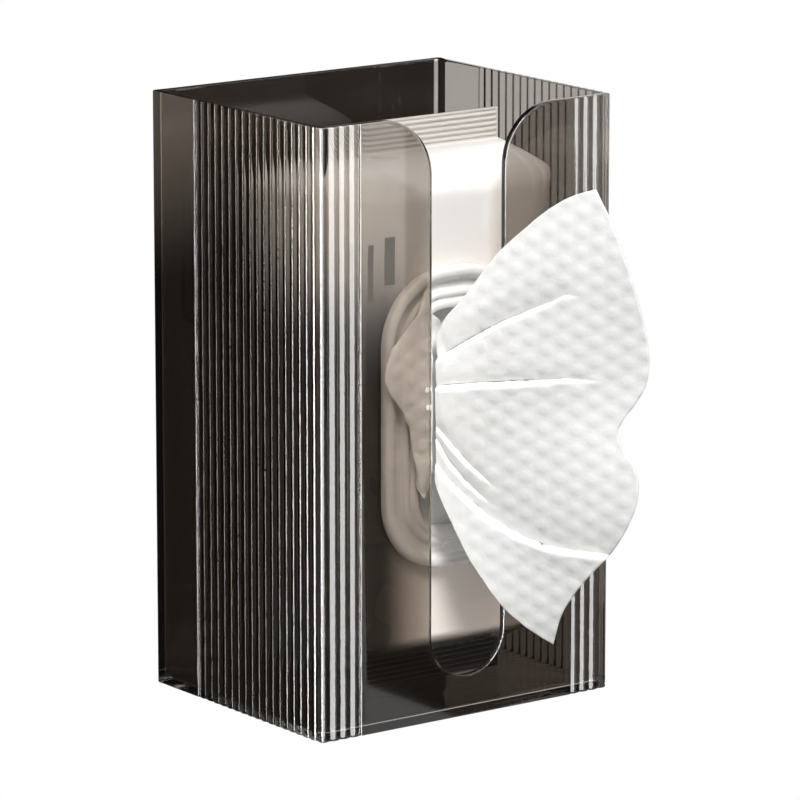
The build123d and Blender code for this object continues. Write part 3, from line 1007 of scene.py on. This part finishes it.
def stack_rings():
    """Superellipses drawn in at both ends. The front face is hollowed by a bell curve towards the
    throat and pressed with dots."""
    z = np.linspace(stack_low[2], stack_high[2], 220)
    turn = np.linspace(0, 2 * math.pi, 360, endpoint=False)
    half_x, half_y = (stack_high[:2] - stack_low[:2]) / 2
    end = np.minimum(z - stack_low[2], stack_high[2] - z)
    draw_in = STACK_ROUND * (1 - np.sqrt(1 - (1 - np.clip(end / STACK_ROUND, 0, 1)) ** 2))
    s = np.sin(turn)[None, :]
    x = (half_x - draw_in)[:, None] * rounded(np.cos(turn)[None, :], STACK_POWER)
    y = (half_y - draw_in)[:, None] * rounded(s, STACK_POWER)
    up = (z - FRAME_UP)[:, None]
    face = s < FACE_FROM
    hollow = HOLLOW * np.exp(-(x / HOLLOW_WIDTH) ** 2 - (up / HOLLOW_HEIGHT) ** 2) * face
    dots = STACK_DOT * emboss(x, up) * face
    middle = (stack_low[1] + stack_high[1]) / 2
    return np.stack([x, y + middle + hollow - dots, np.broadcast_to(z[:, None], x.shape)], axis=-1)


piece("folded_wipes", *closed_rings(stack_rings()), "refill", "wipe_cloth", WIPE_CLOTH, ["wipe_stack"])

# %% [markdown]
# ## The next wipe
# Between the opening and the slot the cloth is bunched, and swells out to the left behind the clear
# panel. A cloth simulation would bunch it some other way each time a size changes, so it is one
# gathered sheet: rows go from the stack to the slot through a few stations, and pleats run along them.

# %% Next wipe
SLOT_X = -13.2
STATIONS = np.array([0.0, 0.22, 0.42, 0.62, 0.8, 1.0])
NEXT_LOW = [88.0, 84.0, 80.0, 76.0, 80.0, 85.0]
NEXT_HIGH = [128.0, 134.0, 142.0, 152.0, 141.0, 129.5]
NEXT_ACROSS = [-2.0, -6.0, -14.0, -13.0, -13.0, SLOT_X + 0.2]
PANEL_BACK = FRONT + WALL
NEXT_DEPTH = [PACK_FRONT + 2.0, PACK_FRONT - 3.0, PANEL_BACK + 3.2, PANEL_BACK + 1.9, PANEL_BACK + 1.3,
              FRONT + 2.6]
# Each lobe: how far it swells to the left, where it lies from low to high, and how wide it is
LOBES = [(16.0, 0.62, 0.2), (5.0, 0.25, 0.3)]
PLEAT = 0.55


def next_wipe_points():
    """Rows run from inside the opening out to the lobe and back to the slot. Each row is a line of
    cloth from low to high. Lobes are bell curves, and pleats are sines that wander."""
    t = np.linspace(0, 1, 90)
    v = np.linspace(0, 1, 130)[None, :]
    low, high, across, depth = (smooth_through(t, STATIONS, values)[:, None]
                                for values in (NEXT_LOW, NEXT_HIGH, NEXT_ACROSS, NEXT_DEPTH))
    z = BASE + low + (high - low) * v
    swell = np.sin(math.pi * t[:, None]) ** 1.3
    lobe = sum(reach * np.exp(-((v - place) / width) ** 2) for reach, place, width in LOBES)
    pleat = np.sin(v * 21 + 2.2 * np.sin(v * 7) + t[:, None] * 1.5)
    return np.stack([across - lobe * swell, depth + PLEAT * pleat * (0.35 + 0.65 * swell), z], axis=-1)


grid = next_wipe_points()
grid += sheet_normals(grid) * 2 * DOT_HEIGHT * emboss(grid[..., 0:1], grid[..., 2:3])
next_wipe = cloth_piece("next_wipe_gathered", grid, "refill", ["next_wipe"])

# %% [markdown]
# ## The wipe that hangs out
# The cloth leaves the slot as a narrow upright line and opens like a fan. A simulated sheet would
# hang straight down, but wet cloth keeps the folds it was pulled into.
#
# ### Its outline
# The outline is given in the fan's own plane as two edges, upper and lower, at growing distance from
# the slot, and the free edge that joins their ends. Places inside are blended from these edges.

# %% Outline of the leading wipe
FAN_TURN = math.radians(50.0)
FAN_ROOT = np.array([-12.6, FRONT + 1.2, BASE])
UPPER_EDGE = [(0, 130.5), (3, 137), (9, 144), (16, 153.5), (22, 161), (30, 168.5), (37, 174.5), (45, 179.5),
              (53.5, 182.5)]
LOWER_EDGE = [(0, 82), (3, 74.5), (7, 66), (12, 56), (17, 48.5), (23, 40.5), (31, 33.5), (39.5, 28)]
FREE_EDGE = [
    (53.5, 182.5), (59, 172.5), (65.3, 156), (69.2, 142.8), (71.5, 131), (71.8, 125), (70.8, 118.5),
    (67.2, 111.7), (63, 105.8), (61.6, 102.4), (63.6, 96.6), (67.2, 91.2), (68.8, 85.6), (68.6, 79.5),
    (66.4, 72.9), (59.8, 61.5), (53.2, 54), (47.2, 46.4), (43, 39.3), (39.5, 28)]


def edge_curve(points, share):
    """Places at a share of the length of a smooth curve through the points."""
    points = np.array(points, float)
    length = np.concatenate([[0], np.cumsum(np.linalg.norm(np.diff(points, axis=0), axis=1))])
    return smooth_through(share * length[-1], length, points)


def fan_flat(rows, columns):
    """Places in the fan's plane, out and up, by blending four edges: the slot line, the free edge,
    and the upper and lower edges, as a Coons patch does."""
    u = np.linspace(0, 1, rows)
    v = np.linspace(0, 1, columns)
    upper = edge_curve(UPPER_EDGE, u)[:, None, :]
    lower = edge_curve(LOWER_EDGE, u)[:, None, :]
    free = edge_curve(FREE_EDGE, v)[None, :, :]
    top, foot = UPPER_EDGE[0][1], LOWER_EDGE[0][1]
    root = np.stack([0 * v, top + (foot - top) * v], axis=-1)[None, :, :]
    uu, vv = u[:, None, None], v[None, :, None]
    corners = ((1 - uu) * (1 - vv) * root[:, :1] + (1 - uu) * vv * root[:, -1:]
               + uu * (1 - vv) * free[:, :1] + uu * vv * free[:, -1:])
    return (1 - vv) * upper + vv * lower + (1 - uu) * root + uu * free - corners, uu[..., 0], vv[..., 0]


print("free edge", len(FREE_EDGE), "points")

# %% [markdown]
# ### Its folds
# Across the fan run a few deep folds that start at the slot; between them the cloth bellies. On the
# real cloth each is an overlap of two layers. A second layer would cut through the first where the
# fold fades, so one sheet sinks into a crease above the fold's line and stands up at once below it.

# %% Folds of the leading wipe
FAN_REACH = 72.0
# Each fold: its line as places out and up, how deep the crease is and how wide the cloth above leans
# into it, how high the layer below stands, how wide and how rounded its edge, and where the fold fades
FOLDS = [
    ([(0, 123), (7, 127.6), (15, 132.6), (22, 136.6), (30, 140.4), (36, 143), (44, 147)],
     4.2, 3.4, 0.9, 26.0, 0.26, 18, 52),
    ([(0, 113.8), (12, 115.6), (25, 117), (35, 118.2), (44, 119)], 2.8, 2.0, 2.2, 14.0, 0.36, 26, 58),
    ([(0, 100.5), (5.5, 94.3), (10.3, 89.1), (15.3, 85), (22, 80)], 2.0, 1.9, 1.2, 2.6, 0.4, 8, 21),
    ([(0, 96.4), (4.2, 88.8), (9.9, 82.3), (15, 77.9), (22, 73)], 1.8, 1.8, 1.0, 2.4, 0.4, 8, 20),
    ([(0, 88), (4.2, 82.7), (8.2, 78.8), (17.4, 70.9), (26.6, 65.6), (36.4, 62.1), (42.8, 61.1), (52.3, 60.6),
      (62, 60)], 2.2, 9.0, 1.2, 90.0, 0.34, 52, 90)]
BELLY, BELLY_END = 2.4, 0.85
EDGE_WAVE = 1.6
TIP_FROM, TIP_CURL = 46.0, 2.2


def fold(out, up, line, deep, lean, high, wide, round_edge, fade_from, fade_to):
    """One fold across the fan. Above its line the cloth sinks into the crease as a falling
    exponential; below it the next layer stands up at once and dies away as another."""
    xs, zs = np.array(line, float).T
    places, step = np.linspace(0, FAN_REACH, 145, retstep=True)
    way = np.gradient(np.interp(places, xs, zs), step)
    tilt = 1 / np.sqrt(1 + np.interp(out, places, way) ** 2)
    below = (np.interp(out, xs, zs) - up) * tilt
    sink = -deep * np.exp(np.minimum(below, 0) / lean)
    edge = np.exp(-np.maximum(below, 0) / round_edge)
    stand = high * (1 - edge) * np.exp(-np.maximum(below, 0) / wide)
    kept = 1 - smooth_step((out - fade_from) / (fade_to - fade_from))
    return (sink * edge + stand) * kept


def fan_relief(out, up, u, v):
    """How far the cloth stands towards the viewer: the folds, which are closed at the slot and open
    outwards, a broad belly, a slow wave along the free edge, and a tip that curls back in a parabola."""
    start = smooth_step(u / 0.06) * 0.5 + 0.5
    folds = sum(fold(out, up, *each) for each in FOLDS) * start
    belly = BELLY * np.sin(math.pi * np.minimum(v / BELLY_END, 1)) ** 0.8 * smooth_step(u / 0.55)
    wave = EDGE_WAVE * np.sin(2 * math.pi * (v * 1.7 + 0.05)) * u ** 2
    curl = TIP_CURL * (np.clip(TIP_FROM - up, 0, None) / (TIP_FROM - LOWER_EDGE[-1][1])) ** 2
    return folds + belly + wave - curl


print(len(FOLDS), "folds")

# %% [markdown]
# ### The sheet
# The flat places are turned into the fan's plane, which swings out of the slot by 50 degrees, and the
# relief is added square to it. The dots come last, along the folded surface, because the emboss
# follows every fold of the real cloth. They fade near the slot, where the cloth is drawn tight.

# %% Leading wipe
FAN_ROWS, FAN_COLUMNS = 118, 400
DOT_SKEW = 3.0
DOTS_FULL = 0.3


def fan_points(rows, columns):
    """The root, plus out along the fan, plus up, plus the relief towards the viewer, plus the dots
    along the surface's normal."""
    flat, u, v = fan_flat(rows, columns)
    relief = fan_relief(flat[..., 0], flat[..., 1], u, v)
    along = np.array([math.cos(FAN_TURN), -math.sin(FAN_TURN), 0])
    near = np.array([-math.sin(FAN_TURN), -math.cos(FAN_TURN), 0])
    points = (FAN_ROOT + flat[..., 0:1] * along + flat[..., 1:2] * np.array([0, 0, 1.0])
              + relief[..., None] * near)
    dots = emboss(flat[..., 0:1] + DOT_SKEW * v[..., None], flat[..., 1:2])
    return points - sheet_normals(points) * DOT_HEIGHT * dots * smooth_step(u / DOTS_FULL)[..., None]


leading = cloth_piece("leading_wipe_fan", fan_points(FAN_ROWS, FAN_COLUMNS), "pulled_wipe", ["leading_wipe"])
